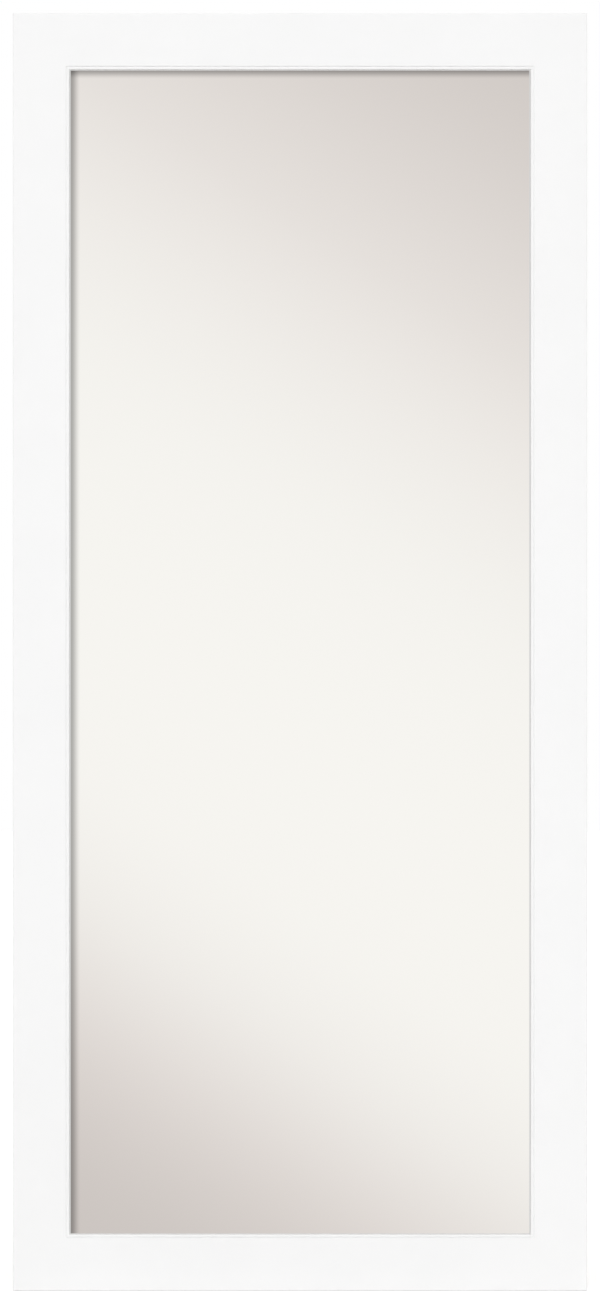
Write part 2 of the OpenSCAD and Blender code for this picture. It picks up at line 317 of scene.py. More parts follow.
def both(tree, *masks):
    result = masks[0]
    for mask in masks[1:]:
        result = maths(tree, "MULTIPLY", result, mask)
    return result


def painted_edge_shade(tree, across, up):
    """The share of the band left by the painted shadows, and how much painted shade line shows."""
    edge_x, edge_z = sight_width / 2, sight_height / 2
    from_left = maths(tree, "ADD", across, edge_x)
    from_top = maths(tree, "SUBTRACT", edge_z, up)
    from_side = maths(tree, "SUBTRACT", edge_x, maths(tree, "ABSOLUTE", across))
    line_z = edge_z + SHADE_LINE_HIDDEN_AT_ENDS
    from_end = maths(tree, "SUBTRACT", line_z, maths(tree, "ABSOLUTE", up))
    inside = maths(tree, "MINIMUM", from_side, from_end)
    framed = maths(tree, "GREATER_THAN", inside, -FRAMED_BEYOND)
    left = fade(tree, from_left, *LEFT_PAINTED_SHADOW, PAINTED_SHADOW_DARKEST, 1.0)
    top = fade(tree, from_top, *TOP_PAINTED_SHADOW, PAINTED_SHADOW_DARKEST, 1.0)
    light = maths(tree, "MAXIMUM", both(tree, left, top), maths(tree, "SUBTRACT", 1.0, framed))
    line = both(tree, framed, fade(tree, inside, *SHADE_LINE_FADE, 1.0, 0.0))
    return light, line


print(f"strips {LEFT_PAINTED_SHADOW[1] / MM:.1f} mm wide on the left, {TOP_PAINTED_SHADOW[1] / MM:.1f} mm at the top")

# %% [markdown]
# The plate gives back a little less light than it gets, so the board glows that much more.

# %% Reflection board
PLATE_REFLECTS = 0.94


def mix_colours(tree, share, first, second):
    node = add_node(tree, "ShaderNodeMix", data_type="RGBA")
    for key, value in (("Factor", share), ("A", first), ("B", second)):
        socket = next(s for s in node.inputs if s.name == key and s.enabled)
        if isinstance(value, bpy.types.NodeSocket):
            tree.links.new(value, socket)
        else:
            socket.default_value = value
    return next(s for s in node.outputs if s.enabled)


def place_on_piece(tree):
    """The point on the piece, as a vector and as its X, Y and Z, in metres."""
    place = add_node(tree, "ShaderNodeTexCoord").outputs["Object"]
    parts = add_node(tree, "ShaderNodeSeparateXYZ", {0: place})
    return place, parts.outputs[0], parts.outputs[1], parts.outputs[2]


def only_reflected(tree, colour, strength=1.0):
    """Ends a material in a glow of that colour, which only reflected rays see."""
    glow = add_node(tree, "ShaderNodeEmission", {"Color": colour, "Strength": strength})
    glossy = add_node(tree, "ShaderNodeLightPath").outputs["Is Glossy Ray"]
    clear_unless(tree, glossy, glow.outputs[0])


def reflection_board():
    material, tree = new_material("reflection_board")
    _, x, _, z = place_on_piece(tree)
    across = maths(tree, "DIVIDE", x, board_ratio)
    up = maths(tree, "DIVIDE", maths(tree, "SUBTRACT", z, middle_z), board_ratio)
    # the board's glow is darkened by painted shadow on the left and top, and by a painted shade line
    # inside all four edges
    light, line = painted_edge_shade(tree, across, up)
    band = mix_colours(tree, light, (0, 0, 0, 1), diagonal_band(tree, across, up))
    colour = mix_colours(tree, line, band, linear(SHADE_LINE_TONE, SHADE_LINE_TONE, SHADE_LINE_TONE))
    only_reflected(tree, colour, 1 / PLATE_REFLECTS)
    return material


flat_stage("reflection_board", board_corners, reflection_board())

# %% [markdown]
# ## What the mirror sees from above
#
# Seen from a higher place, the mirror looks down past the board. A second card lies well
# below the floor, where only reflected rays see it, with soft diagonal bands like the
# board's. It keeps the mirror from looking like blank paper in such a view, and gives the
# bright metal parts a darker side.

# %% Reflection card
CARD_DEPTH = 3.0
CARD_BAND = 1.6
CARD_TONE_DARK, CARD_TONE_PALE = 196, 242


def reflection_card():
    material, tree = new_material("reflection_card")
    _, x, y, _ = place_on_piece(tree)
    tilt = maths(tree, "MULTIPLY_ADD", x, BAND_SLOPE, y)
    pale = fade(tree, maths(tree, "PINGPONG", tilt, CARD_BAND), 0.0, CARD_BAND)
    only_reflected(tree, mix_colours(tree, pale, warm_tone(CARD_TONE_DARK), warm_tone(CARD_TONE_PALE)))
    return material


flat_stage("reflection_card", level_square(floor_z - CARD_DEPTH), reflection_card())

# %% [markdown]
# ## Studio light
#
# The frame's face is one even tone in the photograph. An area lamp close by would fall off
# along the frame, so the main light is a sun lamp, which doesn't, made soft by a wide
# angle. It stands high, which lets the groove show, and straight ahead, so that the frame's
# shadow falls behind it and leaves the margins of the picture white. A weaker lamp on the
# door's side lights the back. The mirror doesn't show the lamps.

# %% Lamps
KEY_LIGHT, KEY_FROM, KEY_SOFT = 1.10, (0.0, -0.78, 0.62), 25
BACK_LIGHT, BACK_FROM, BACK_SOFT = 0.45, (0.40, 0.75, 0.53), 30


def soft_sun(name, light, source, soft):
    """A lamp so far away that it lights everything alike. soft is its width in degrees."""
    data = bpy.data.lights.new(name, "SUN")
    data.energy = light
    data.angle = math.radians(soft)
    lamp = bpy.data.objects.new(name, data)
    lamp.rotation_euler = Vector(source).to_track_quat("Z", "Y").to_euler()
    lamp.visible_glossy = False
    scene.collection.objects.link(lamp)
    print(f"{name} lamp: strength {light}, {soft} degrees wide")


soft_sun("key", KEY_LIGHT, KEY_FROM, KEY_SOFT)
soft_sun("back", BACK_LIGHT, BACK_FROM, BACK_SOFT)

# %% [markdown]
# ## White lacquer on board
#
# The four lengths of moulding are cut from fine wood fibreboard, joined, and sprayed white
# as one frame, so no joint shows in front. What the spray never reaches stays brown: the
# rebate behind the plate and the two channels for the straps, which are routed later. Each
# face could have a material of its own, but one material can do all of this, because where
# a point lies says which it is. The first step finds the bare places.

# %% Where no lacquer goes
CHANNEL_GAP = 0.5 * MM
CHANNEL_END = 4 * MM
REBATE_GAP = 1 * MM
# A point that is nearer to a face than this counts as on it
EDGE = 0.06 * MM

hook_low, hook_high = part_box("right_hook")
insert_low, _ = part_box("right_inserts")
strap_half = (hook_high.x - hook_low.x) / 2
hook_x = (hook_low.x + hook_high.x) / 2
channel_half = strap_half + CHANNEL_GAP
channel_bottom = hook_low.z - CHANNEL_END


def within(tree, value, low, high):
    """1 where the value lies from low to high, and 0 elsewhere."""
    return maths(tree, "COMPARE", value, (low + high) / 2, (high - low) / 2)


def bare_places(tree, side, rise, y, z):
    """1 in the rebate, the channels and the holes, where no lacquer goes."""
    rebate = both(
        tree,
        maths(tree, "LESS_THAN", side, board_high.x + REBATE_GAP + EDGE),
        maths(tree, "LESS_THAN", rise, board_high.z - middle_z + REBATE_GAP + EDGE),
        maths(tree, "GREATER_THAN", y, plate_low.y - EDGE),
    )
    channel = both(
        tree,
        within(tree, side, hook_x - channel_half - EDGE, hook_x + channel_half + EDGE),
        within(tree, y, insert_low.y - MM, back_y - EDGE),
        within(tree, z, channel_bottom - EDGE, stile_high.z - EDGE),
    )
    return maths(tree, "MAXIMUM", rebate, channel)


print(f"channels {2 * channel_half / MM:.0f} mm wide, {(stile_high.z - channel_bottom) / MM:.0f} mm long")

# %% [markdown]
# The lacquer is one even white in front. On the back the coat is thin and dull, and each
# mitre shows as a hairline. Bare fibreboard is short fibres in two close browns, drawn by
# noise at the size of the real fibres.

# %% Colours of lacquer and bare board
FRONT_WHITE, FRONT_CLOUD = linear(247, 247, 247), linear(246, 246, 246)
BACK_WHITE = linear(233, 231, 226)
BOARD_PALE, BOARD_DARK = linear(196, 170, 134), linear(166, 137, 102)
HAIRLINE = linear(150, 119, 84)
HAIR_WIDTH, HAIR_STRENGTH = 0.22 * MM, 0.75


def speckle(tree, place, grain, detail=2.0, stretch=(1, 1, 1)):
    """Noise from 0 to 1 with specks about as large as grain, in metres."""
    scale = tuple(s / grain for s in stretch)
    mapped = add_node(tree, "ShaderNodeMapping", {"Vector": place, "Scale": scale})
    settings = {"Vector": mapped.outputs[0], "Scale": 1.0, "Detail": detail}
    return add_node(tree, "ShaderNodeTexNoise", settings).outputs["Fac"]


def weigh(tree, *parts):
    """The sum of several values, each given with its weight."""
    total = maths(tree, "MULTIPLY", *parts[0])
    for value, weight in parts[1:]:
        total = maths(tree, "MULTIPLY_ADD", value, weight, total)
    return total


def lacquer_colour(tree, place, behind, side, rise):
    cloud = speckle(tree, place, 90 * MM, 3.0)
    front = mix_colours(tree, fade(tree, cloud, 0.3, 0.7), FRONT_WHITE, FRONT_CLOUD)
    white = mix_colours(tree, behind, front, BACK_WHITE)
    spots = speckle(tree, place, 30 * MM, 4.0)
    thin = both(tree, behind, fade(tree, spots, 0.35, 0.75, 0.0, 0.10))
    white = mix_colours(tree, thin, white, BOARD_PALE)
    in_from_side = maths(tree, "SUBTRACT", frame_width / 2, side)
    in_from_end = maths(tree, "SUBTRACT", frame_height / 2, rise)
    off_mitre = maths(tree, "ABSOLUTE", maths(tree, "SUBTRACT", in_from_side, in_from_end))
    mitre = both(tree, behind, fade(tree, off_mitre, 0.0, HAIR_WIDTH, HAIR_STRENGTH, 0.0))
    return mix_colours(tree, mitre, white, HAIRLINE)


def bare_board_colour(tree, place):
    fibre = speckle(tree, place, 0.45 * MM, 5.0, (1, 1, 0.45))
    patch = speckle(tree, place, 12 * MM, 3.0)
    tone = weigh(tree, (fibre, 0.75), (patch, 0.25))
    return mix_colours(tree, fade(tree, tone, 0.30, 0.70), BOARD_PALE, BOARD_DARK)


print(f"each mitre is a line {2 * HAIR_WIDTH / MM:.2f} mm wide on the back")

# %% [markdown]
# The lacquer's very fine orange peel shows only in its soft reflections, and the bare board
# is fuzzy. Both are bumps, far too shallow to be worth a mesh.

# %% White lacquer
PEEL_DEPTH, FUZZ_DEPTH = 0.012 * MM, 0.08 * MM
BACK_DULLER, BARE_ROUGHNESS = 0.20, 0.88


def relief(tree, height, depth, strength=1.0, under=None):
    """A bump from a height of 0 to 1 that stands for that depth, in metres."""
    settings = {"Height": height, "Distance": depth, "Strength": strength}
    if under is not None:
        settings["Normal"] = under
    return add_node(tree, "ShaderNodeBump", settings).outputs[0]


def surface(tree, **settings):
    """Ends a material in the Principled shader. The settings are its inputs by name."""
    inputs = {key.replace("_", " "): value for key, value in settings.items()}
    shader = add_node(tree, "ShaderNodeBsdfPrincipled", inputs)
    add_node(tree, "ShaderNodeOutputMaterial", {"Surface": shader.outputs[0]})


def white_lacquer():
    material, tree = new_material("white_lacquer")
    place, x, y, z = place_on_piece(tree)
    side = maths(tree, "ABSOLUTE", x)
    rise = maths(tree, "ABSOLUTE", maths(tree, "SUBTRACT", z, middle_z))
    behind = maths(tree, "GREATER_THAN", y, back_y - EDGE)
    bare = bare_places(tree, side, rise, y, z)
    white = lacquer_colour(tree, place, behind, side, rise)
    colour = mix_colours(tree, bare, white, bare_board_colour(tree, place))
    peel = speckle(tree, place, 2.2 * MM)
    fuzz = speckle(tree, place, 0.35 * MM, 3.0)
    coat = relief(tree, peel, PEEL_DEPTH, 0.6)
    bump = relief(tree, fuzz, FUZZ_DEPTH, both(tree, bare, 0.9), under=coat)
    gloss = fade(tree, peel, 0.2, 0.8, 0.36, 0.44)
    matt = maths(tree, "MULTIPLY_ADD", behind, BACK_DULLER, gloss)
    rough = maths(tree, "MAXIMUM", matt, both(tree, bare, BARE_ROUGHNESS))
    surface(tree, Base_Color=colour, Roughness=rough, Normal=bump)
    return material


def finish_nodes(material, *names):
    for name in names:
        node = frame["nodes"][name]
        node.data.materials.clear()
        node.data.materials.append(material)
    print(f"{material.name}: {', '.join(names)}")


finish_nodes(white_lacquer(), "top_rail", "bottom_rail", "left_stile", "right_stile")

# %% [markdown]
# ## The mirror plate
#
# A mirror is clear glass with silver on its back, under a coat of paint. Glass over metal
# would show every edge twice and take long to render. Seen from the front it is one clean
# reflection, so the front face is a smooth metal with a trace of the glass's tint. The cut
# edge shows the green of the glass, and the back its grey paint. How deep a point lies in
# the plate says which of the three it belongs to.

# %% Mirror plate
PLATE_TINT = (0.940, 0.944, 0.940, 1)
GLASS_EDGE = (0.035, 0.110, 0.085, 1)
BACK_PAINT, BACK_PAINT_DARK = linear(118, 120, 122), linear(106, 108, 111)


def silvered_glass():
    material, tree = new_material("silvered_glass")
    place, _, y, _ = place_on_piece(tree)
    front = maths(tree, "LESS_THAN", y, plate_low.y + EDGE)
    back = maths(tree, "GREATER_THAN", y, plate_high.y - EDGE)
    drift = speckle(tree, place, 25 * MM, 3.0)
    paint = mix_colours(tree, fade(tree, drift, 0.3, 0.7), BACK_PAINT, BACK_PAINT_DARK)
    rear = mix_colours(tree, back, GLASS_EDGE, paint)
    colour = mix_colours(tree, front, rear, PLATE_TINT)
    ground = speckle(tree, place, 0.4 * MM)
    rear_rough = fade(tree, ground, 0.2, 0.8, 0.30, 0.55)
    rough = both(tree, maths(tree, "SUBTRACT", 1.0, front), rear_rough)
    surface(tree, Base_Color=colour, Metallic=front, Roughness=rough)
    return material


finish_nodes(silvered_glass(), "mirror_plate")

# %% [markdown]
# ## Film and card
#
# Behind the plate lie a grey safety film, which holds the glass if it breaks, and a sheet
# of grey card that takes up the play. Both are hidden until the back comes off, so they
# get plain noise at the size of the film's ripples and the card's fibres.

# %% Film and card
def safety_film():
    material, tree = new_material("safety_film")
    place, _, _, _ = place_on_piece(tree)
    ripple = speckle(tree, place, 18 * MM, 3.0)
    colour = mix_colours(tree, ripple, linear(150, 158, 168), linear(168, 174, 182))
    bump = relief(tree, ripple, 0.15 * MM, 0.5)
    rough = fade(tree, ripple, 0.2, 0.8, 0.28, 0.42)
    surface(tree, Base_Color=colour, Roughness=rough, Normal=bump)
    return material


def grey_card():
    material, tree = new_material("grey_card")
    place, _, _, _ = place_on_piece(tree)
    fibre = speckle(tree, place, 0.9 * MM, 5.0, (1, 1, 0.35))
    cloud = speckle(tree, place, 30 * MM)
    tone = fade(tree, weigh(tree, (fibre, 0.6), (cloud, 0.4)), 0.3, 0.7)
    colour = mix_colours(tree, tone, linear(206, 203, 196), linear(180, 177, 170))
    bump = relief(tree, fibre, 0.05 * MM, 0.6)
    surface(tree, Base_Color=colour, Roughness=0.9, Normal=bump)
    return material


finish_nodes(safety_film(), "safety_film")
finish_nodes(grey_card(), "cushion_sheet")

# %% [markdown]
# ## Hardboard
#
# The hardboard back is the layer that shows: pressed wood fibre, brown, a little uneven,
# with darker flecks and a soft waxy shine. A photograph of hardboard would repeat itself,
# so four noises make it, from broad clouds down to hairs a fifth of a millimetre wide.

# %% Hardboard
def hardboard():
    material, tree = new_material("hardboard")
    place, _, _, _ = place_on_piece(tree)
    cloud = speckle(tree, place, 60 * MM, 4.0)
    fibre = speckle(tree, place, 1.1 * MM, 7.0, (1, 1, 0.6))
    hairs = speckle(tree, place, 0.22 * MM, 3.0, (1, 1, 0.18))
    fleck = speckle(tree, place, 0.9 * MM, 1.0, (0.35, 1, 1))
    fine = weigh(tree, (fibre, 0.35), (hairs, 0.45))
    tone = fade(tree, weigh(tree, (fine, 1.0), (cloud, 0.20)), 0.30, 0.70)
    brown = mix_colours(tree, tone, linear(164, 127, 91), linear(122, 89, 60))
    dark = fade(tree, fleck, 0.66, 0.78, 0.0, 0.55)
    colour = mix_colours(tree, dark, brown, linear(74, 49, 31))
    bump = relief(tree, fine, 0.04 * MM, 0.5)
    rough = fade(tree, fibre, 0.2, 0.8, 0.50, 0.66)
    surface(tree, Base_Color=colour, Roughness=rough, Normal=bump)
    return material


finish_nodes(hardboard(), "backing_board")

# %% [markdown]
# ## Rubber
#
# The plate stands on two rubber setting blocks and is kept from the rebate by small rubber
# spacers. The bumpers that meet the door are moulded from the same matt black rubber. A
# plain dark grey would look like a hole, so it gets a greyish bloom and a fine skin.

# %% Rubber
def black_rubber():
    material, tree = new_material("black_rubber")
    place, _, _, _ = place_on_piece(tree)
    skin = speckle(tree, place, 0.35 * MM, 3.0)
    bloom = speckle(tree, place, 4 * MM, 3.0)
    pale = fade(tree, bloom, 0.35, 0.75)
    colour = mix_colours(tree, pale, linear(34, 34, 35), linear(52, 52, 53))
    rough = fade(tree, bloom, 0.3, 0.7, 0.58, 0.74)
    bump = relief(tree, skin, 0.03 * MM, 0.7)
    surface(tree, Base_Color=colour, Roughness=rough, Normal=bump)
    return material


rubber = black_rubber()
finish_nodes(rubber, "setting_blocks", "side_spacers")

# %% [markdown]
# ## Zinc and brass
#
# Nails, retaining points, washers and screws are zinc plated: bright, bluish, a little
# cloudy, so one slow noise drives both the colour and the gloss. The inserts are turned
# brass, with fine rings round their axis: noise that is very fine along the axis and
# stretched across it.

# %% Zinc and brass
def zinc_plate():
    material, tree = new_material("zinc_plate")
    place, _, _, _ = place_on_piece(tree)
    cloud = speckle(tree, place, 3.5 * MM, 3.0)
    grain = speckle(tree, place, 0.25 * MM)
    tone = fade(tree, cloud, 0.3, 0.7)
    colour = mix_colours(tree, tone, linear(201, 205, 211), linear(182, 187, 195))
    rough = fade(tree, cloud, 0.25, 0.75, 0.24, 0.34)
    bump = relief(tree, grain, 0.006 * MM, 0.8)
    surface(tree, Base_Color=colour, Metallic=1.0, Roughness=rough, Normal=bump)
    return material


def turned_brass():
    material, tree = new_material("turned_brass")
    place, _, _, _ = place_on_piece(tree)
    rings = speckle(tree, place, 0.2 * MM, 2.0, (0.15, 1, 0.15))
    cloud = speckle(tree, place, 3 * MM, 3.0)
    colour = mix_colours(tree, cloud, linear(222, 184, 112), linear(196, 155, 84))
    rough = fade(tree, rings, 0.2, 0.8, 0.24, 0.38)
    bump = relief(tree, rings, 0.01 * MM, 0.8)
    surface(tree, Base_Color=colour, Metallic=1.0, Roughness=rough, Normal=bump)
    return material


zinc = zinc_plate()
finish_nodes(zinc, "corner_nails")
finish_nodes(turned_brass(), "left_inserts", "right_inserts")

# %% [markdown]
# ## Washers
#
# Washers, screws and bumpers are round. Blender's Screw modifier turns one outline about an
# axis, as a lathe does, but it can't also cut a hex socket. So each part is a stack of
# rings about its own axis. A ring needs its place along the axis and its radius, and where
# it isn't a circle, the radius is a function of the angle. The washer is the simplest one,
# circles all through. Stamping rounds one of its outer rims more than the other.

# %% Outline of a washer
WASHER_OUTER, WASHER_INNER, WASHER_THICK, WASHER_ROUND = 7.5, 2.75, 1.2, 0.18


def arc(centre, radius, start, end, steps):
    """Rings along an arc of the outline. Angles are in degrees, from the outward direction."""
    rings = []
    for step in range(steps + 1):
        angle = math.radians(start + (end - start) * step / steps)
        rings.append((centre[0] + radius * math.sin(angle), centre[1] + radius * math.cos(angle)))
    return rings


def washer_rings():
    thick, rim = WASHER_THICK, WASHER_ROUND
    rings = arc((rim, WASHER_OUTER - rim), rim, -90, 0, 3)
    rings += arc((thick - 2 * rim, WASHER_OUTER - 2 * rim), 2 * rim, 0, 90, 5)
    rings += [(thick, WASHER_INNER + rim), (thick - rim, WASHER_INNER)]
    return rings + [(rim, WASHER_INNER), (0.0, WASHER_INNER + rim)]


print(f"washer of {len(washer_rings())} rings")

# %% [markdown]
# Then the rings are joined, each point to its neighbours. A solid part is closed by faces
# across its first and last ring, and a hollow one by joining those two rings.

# %% Washer
WASHER_SEGMENTS = 72


def piece_from(shape, name):
    """Puts a finished bmesh in the scene, as an object of that name."""
    mesh = bpy.data.meshes.new(name)
    shape.to_mesh(mesh)
    shape.free()
    piece = bpy.data.objects.new(name, mesh)
    scene.collection.objects.link(piece)
    print(f"{name}: {len(mesh.polygons)} faces")
    return piece


def join_loops(shape, pairs):
    """Faces between each pair of closed loops of points."""
    for first, second in pairs:
        for i in range(len(first)):
            j = (i + 1) % len(first)
            shape.faces.new((first[i], first[j], second[j], second[i]))
    bmesh.ops.recalc_face_normals(shape, faces=shape.faces)


def turned_part(name, rings, segments, hollow=False):
    """Joins rings about the Y axis, each (place along Y, radius), in millimetres."""
    shape = bmesh.new()
    loops = []
    for depth, radius in rings:
        loop = []
        for step in range(segments):
            angle = math.tau * step / segments
            reach = radius(angle) if callable(radius) else radius
            place = Vector((reach * math.cos(angle), depth, reach * math.sin(angle)))
            loop.append(shape.verts.new(place * MM))
        loops.append(loop)
    pairs = list(zip(loops, loops[1:]))
    if hollow:
        pairs.append((loops[-1], loops[0]))
    else:
        shape.faces.new(loops[0])
        shape.faces.new(loops[-1])
    join_loops(shape, pairs)
    return piece_from(shape, name)


washer_template = turned_part("washer", washer_rings(), WASHER_SEGMENTS, hollow=True)

# %% [markdown]
# ## Clamp screws
#
# Each strap is clamped by two M5 button-head screws with hex sockets. A screw is one stack
# of rings, and its shank comes first: chamfered tip, thread and neck. On the thread the
# radius rises and falls once in each pitch, and the crest moves on by one pitch in each
# turn, which makes a true helix.

# %% Shank of a clamp screw
SCREW_LENGTH, NECK, TIP_LENGTH, TIP_IN = 12.0, 0.8, 0.7, 0.6
THREAD_CREST, THREAD_ROOT, THREAD_PITCH = 2.49, 2.08, 0.8
# How steep the flanks are, and how much of the rise the flat root cuts off
THREAD_FLANK, THREAD_FLAT = 2.7, 0.85
RINGS_IN_PITCH = 8


def thread_at(depth):
    """The radius round the thread at that depth: flat crests and roots, straight flanks."""
    def radius(angle):
        turn = (depth / THREAD_PITCH + angle / math.tau) % 1.0
        rise = min(1.0, max(0.0, THREAD_FLANK * abs(2 * turn - 1) - THREAD_FLAT))
        return THREAD_ROOT + (THREAD_CREST - THREAD_ROOT) * rise
    return radius


def shank_rings():
    tip = -SCREW_LENGTH
    rings = [(tip, THREAD_ROOT - TIP_IN), (tip + 0.1, THREAD_ROOT - 0.45), (tip + 0.55, THREAD_ROOT)]
    start = tip + TIP_LENGTH
    thread_length = -NECK - start
    steps = round(thread_length / THREAD_PITCH * RINGS_IN_PITCH)
    for step in range(steps + 1):
        depth = start + thread_length * step / steps
        rings.append((depth, thread_at(depth)))
    return rings + [(0.1 - NECK, THREAD_ROOT), (-0.12, THREAD_ROOT), (0.0, THREAD_ROOT + 0.15)]


print(f"shank of {len(shank_rings())} rings")

# %% [markdown]
# The head goes on from there: flat seat, rim, dome, and the hex socket with its drill point.

# %% Clamp screw
HEAD_RADIUS, HEAD_HEIGHT, HEAD_RIM = 4.75, 2.5, 0.35
SOCKET_HALF, SOCKET_DEPTH, DRILL_POINT = 1.5, 1.4, 0.45
DOME_STEPS = 9
SCREW_SEGMENTS = 48


def hexagon(half_width):
    """The radius of a hexagon with that distance from its middle to a flat."""
    sixth = math.tau / 6
    return lambda angle: half_width / math.cos(angle % sixth - sixth / 2)


def head_rings():
    rings = [(0.0, HEAD_RADIUS - 0.12), (0.10, HEAD_RADIUS), (HEAD_RIM, HEAD_RADIUS)]
    socket_rim = SOCKET_HALF / math.cos(math.pi / 6) + 0.35
    for step in range(1, DOME_STEPS + 1):
        angle = math.pi / 2 * step / DOME_STEPS
        reach = socket_rim + (HEAD_RADIUS - socket_rim) * math.cos(angle)
        rings.append((HEAD_RIM + (HEAD_HEIGHT - HEAD_RIM) * math.sin(angle), reach))
    floor = HEAD_HEIGHT - SOCKET_DEPTH
    rings += [(HEAD_HEIGHT, socket_rim - 0.12), (HEAD_HEIGHT - 0.2, hexagon(SOCKET_HALF))]
    rings += [(floor, hexagon(SOCKET_HALF)), (floor - 0.05, SOCKET_HALF - 0.15)]
    return rings + [(floor - DRILL_POINT, 0.15)]


screw_template = turned_part("clamp_screw", shank_rings() + head_rings(), SCREW_SEGMENTS)

# %% [markdown]
# ## Laying out what repeats
#
# Screws, washers, bumpers and retaining points are one shape each, many times over. Copies
# could be made in a loop, but a Geometry Nodes tree keeps the part and its layout apart,
# and its inputs are the real distances. This one sets a part out in rows and columns, and
# turns each copy by a random angle with a fixed seed, as screws come to rest at any angle.
# It ends by making the copies real and giving them their finish.

# %% Rows and columns
def new_tree(name, inputs):
    tree = bpy.data.node_groups.new(name, "GeometryNodeTree")
    for label, kind in inputs:
        tree.interface.new_socket(label, in_out="INPUT", socket_type=f"NodeSocket{kind}")
    tree.interface.new_socket("Geometry", in_out="OUTPUT", socket_type="NodeSocketGeometry")
    return tree, tree.nodes.new("NodeGroupInput").outputs


def row(tree, count, start, step):
    settings = {"Count": count, "Start Location": start, "Offset": step}
    return add_node(tree, "GeometryNodeMeshLine", settings, mode="OFFSET").outputs[0]


def copies(tree, points, part, turn=(0, 0, 0)):
    settings = {"Points": points, "Instance": part, "Rotation": turn}
    return add_node(tree, "GeometryNodeInstanceOnPoints", settings).outputs[0]


def part_from(tree, source):
    return add_node(tree, "GeometryNodeObjectInfo", {"Object": source}).outputs["Geometry"]


def end_tree(tree, geometry, finish):
    real = add_node(tree, "GeometryNodeRealizeInstances", {0: geometry}).outputs[0]
    painted = add_node(tree, "GeometryNodeSetMaterial", {"Geometry": real, "Material": finish})
    out = tree.nodes.new("NodeGroupOutput")
    tree.links.new(painted.outputs[0], out.inputs[0])
    print(f"{tree.name}: {len(tree.nodes)} nodes")
    return tree


def rows_and_columns_tree():
    tree, given = new_tree("rows_and_columns", [
        ("Part", "Object"), ("Columns", "Int"), ("Rows", "Int"), ("First", "Vector"),
        ("Column Step", "Vector"), ("Row Step", "Vector"), ("Turn", "Float"), ("Seed", "Int"),
        ("Finish", "Material"),
    ])
    column = row(tree, given["Rows"], (0, 0, 0), given["Row Step"])
    heads = row(tree, given["Columns"], given["First"], given["Column Step"])
    grid = copies(tree, heads, column)
    places = add_node(tree, "GeometryNodeRealizeInstances", {0: grid}).outputs[0]
    chance = add_node(tree, "FunctionNodeRandomValue", {"Seed": given["Seed"]}, data_type="FLOAT")
    angle = next(s for s in chance.outputs if s.enabled)
    angle = maths(tree, "MULTIPLY", angle, given["Turn"])
    turn = add_node(tree, "ShaderNodeCombineXYZ", {"Y": angle}).outputs[0]
    parts = copies(tree, places, part_from(tree, given["Part"]), turn)
    return end_tree(tree, parts, given["Finish"])


grid_tree = rows_and_columns_tree()

# %% [markdown]
# A tree works as a modifier on an empty piece. What it makes is kept as a plain mesh and the
# modifier goes, because the piece is exported as a mesh. Then the piece is shaded, put on the
# body that it moves with, and its CAD nodes are hidden.

# %% Screws and washers in place
SCREW_SEED = 11


def run_tree(name, tree, settings):
    """Runs a tree once and keeps what it makes as a plain mesh, with no modifier left."""
    piece = bpy.data.objects.new(name, bpy.data.meshes.new(f"{name}_start"))
    scene.collection.objects.link(piece)
    maker = piece.modifiers.new("maker", "NODES")
    maker.node_group = tree
    for item in tree.interface.items_tree:
        if item.in_out == "INPUT":
            maker[item.identifier] = settings[item.name]
    graph = bpy.context.evaluated_depsgraph_get()
    made = bpy.data.meshes.new_from_object(piece.evaluated_get(graph))
    piece.modifiers.remove(maker)
    piece.data = made
    return piece


def keep_piece(piece, body, nodes, sharp_degrees=35):
    """Shades a finished piece, puts it on its body, and hides the CAD nodes it takes the place of."""
    piece.data.shade_smooth()
    piece.data.set_sharp_from_angle(angle=math.radians(sharp_degrees))
    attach(piece, body)
    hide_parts(*nodes)
    print(f"{piece.name}: {len(piece.data.polygons)} faces, on {body}")


for side, sign in (("left", -1), ("right", 1)):
    screws_low, screws_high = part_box(f"{side}_clamp_screws")
    washers_low, washers_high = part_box(f"{side}_washers")
    upper_z = screws_high.z - HEAD_RADIUS * MM
    lower_z = screws_low.z + HEAD_RADIUS * MM
    for kind, template, seat in (
        ("clamp_screws", screw_template, washers_high.y),
        ("washers", washer_template, washers_low.y),
    ):
        pair = run_tree(f"{side}_{kind}_pair", grid_tree, {
            "Part": template, "Columns": 1, "Rows": 2, "First": (sign * hook_x, seat, upper_z),
            "Column Step": (0, 0, 0), "Row Step": (0, 0, lower_z - upper_z),
            "Turn": math.tau, "Seed": SCREW_SEED + sign, "Finish": zinc,
        })
        keep_piece(pair, "frame", [f"{side}_{kind}"])

# %% [markdown]
# ## Door bumpers
#
# Four rubber discs keep the frame off the door. A moulded disc has a well rounded edge, and
# a dish in its face, so that it bears on a ring and grips. It is a stack of rings too,
# since a dish that is only drawn by a bump would be missing from the mesh.

# %% Bumpers
BUMPER_RADIUS, BUMPER_EDGE = 10.0, 0.8
BUMPER_DISH_RADIUS, BUMPER_DISH_DEPTH = 6.2, 0.80
BUMPER_SEGMENTS = 72

bumper_low, bumper_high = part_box("door_bumpers")


def bumper(thick):
    back = -thick
    rings = [(back, BUMPER_RADIUS - 0.15), (back + 0.1, BUMPER_RADIUS)]
    rings += arc((-BUMPER_EDGE, BUMPER_RADIUS - BUMPER_EDGE), BUMPER_EDGE, 0, 90, 6)
    dish, depth = BUMPER_DISH_RADIUS, BUMPER_DISH_DEPTH
    rings += [(0.0, dish + 0.35), (-0.06, dish + 0.10), (-0.22, dish - 0.10)]
    rings += [(0.18 - depth, dish - 0.40), (-depth, dish - 1.0), (-depth, 0.8)]
    return turned_part("bumper", rings, BUMPER_SEGMENTS)


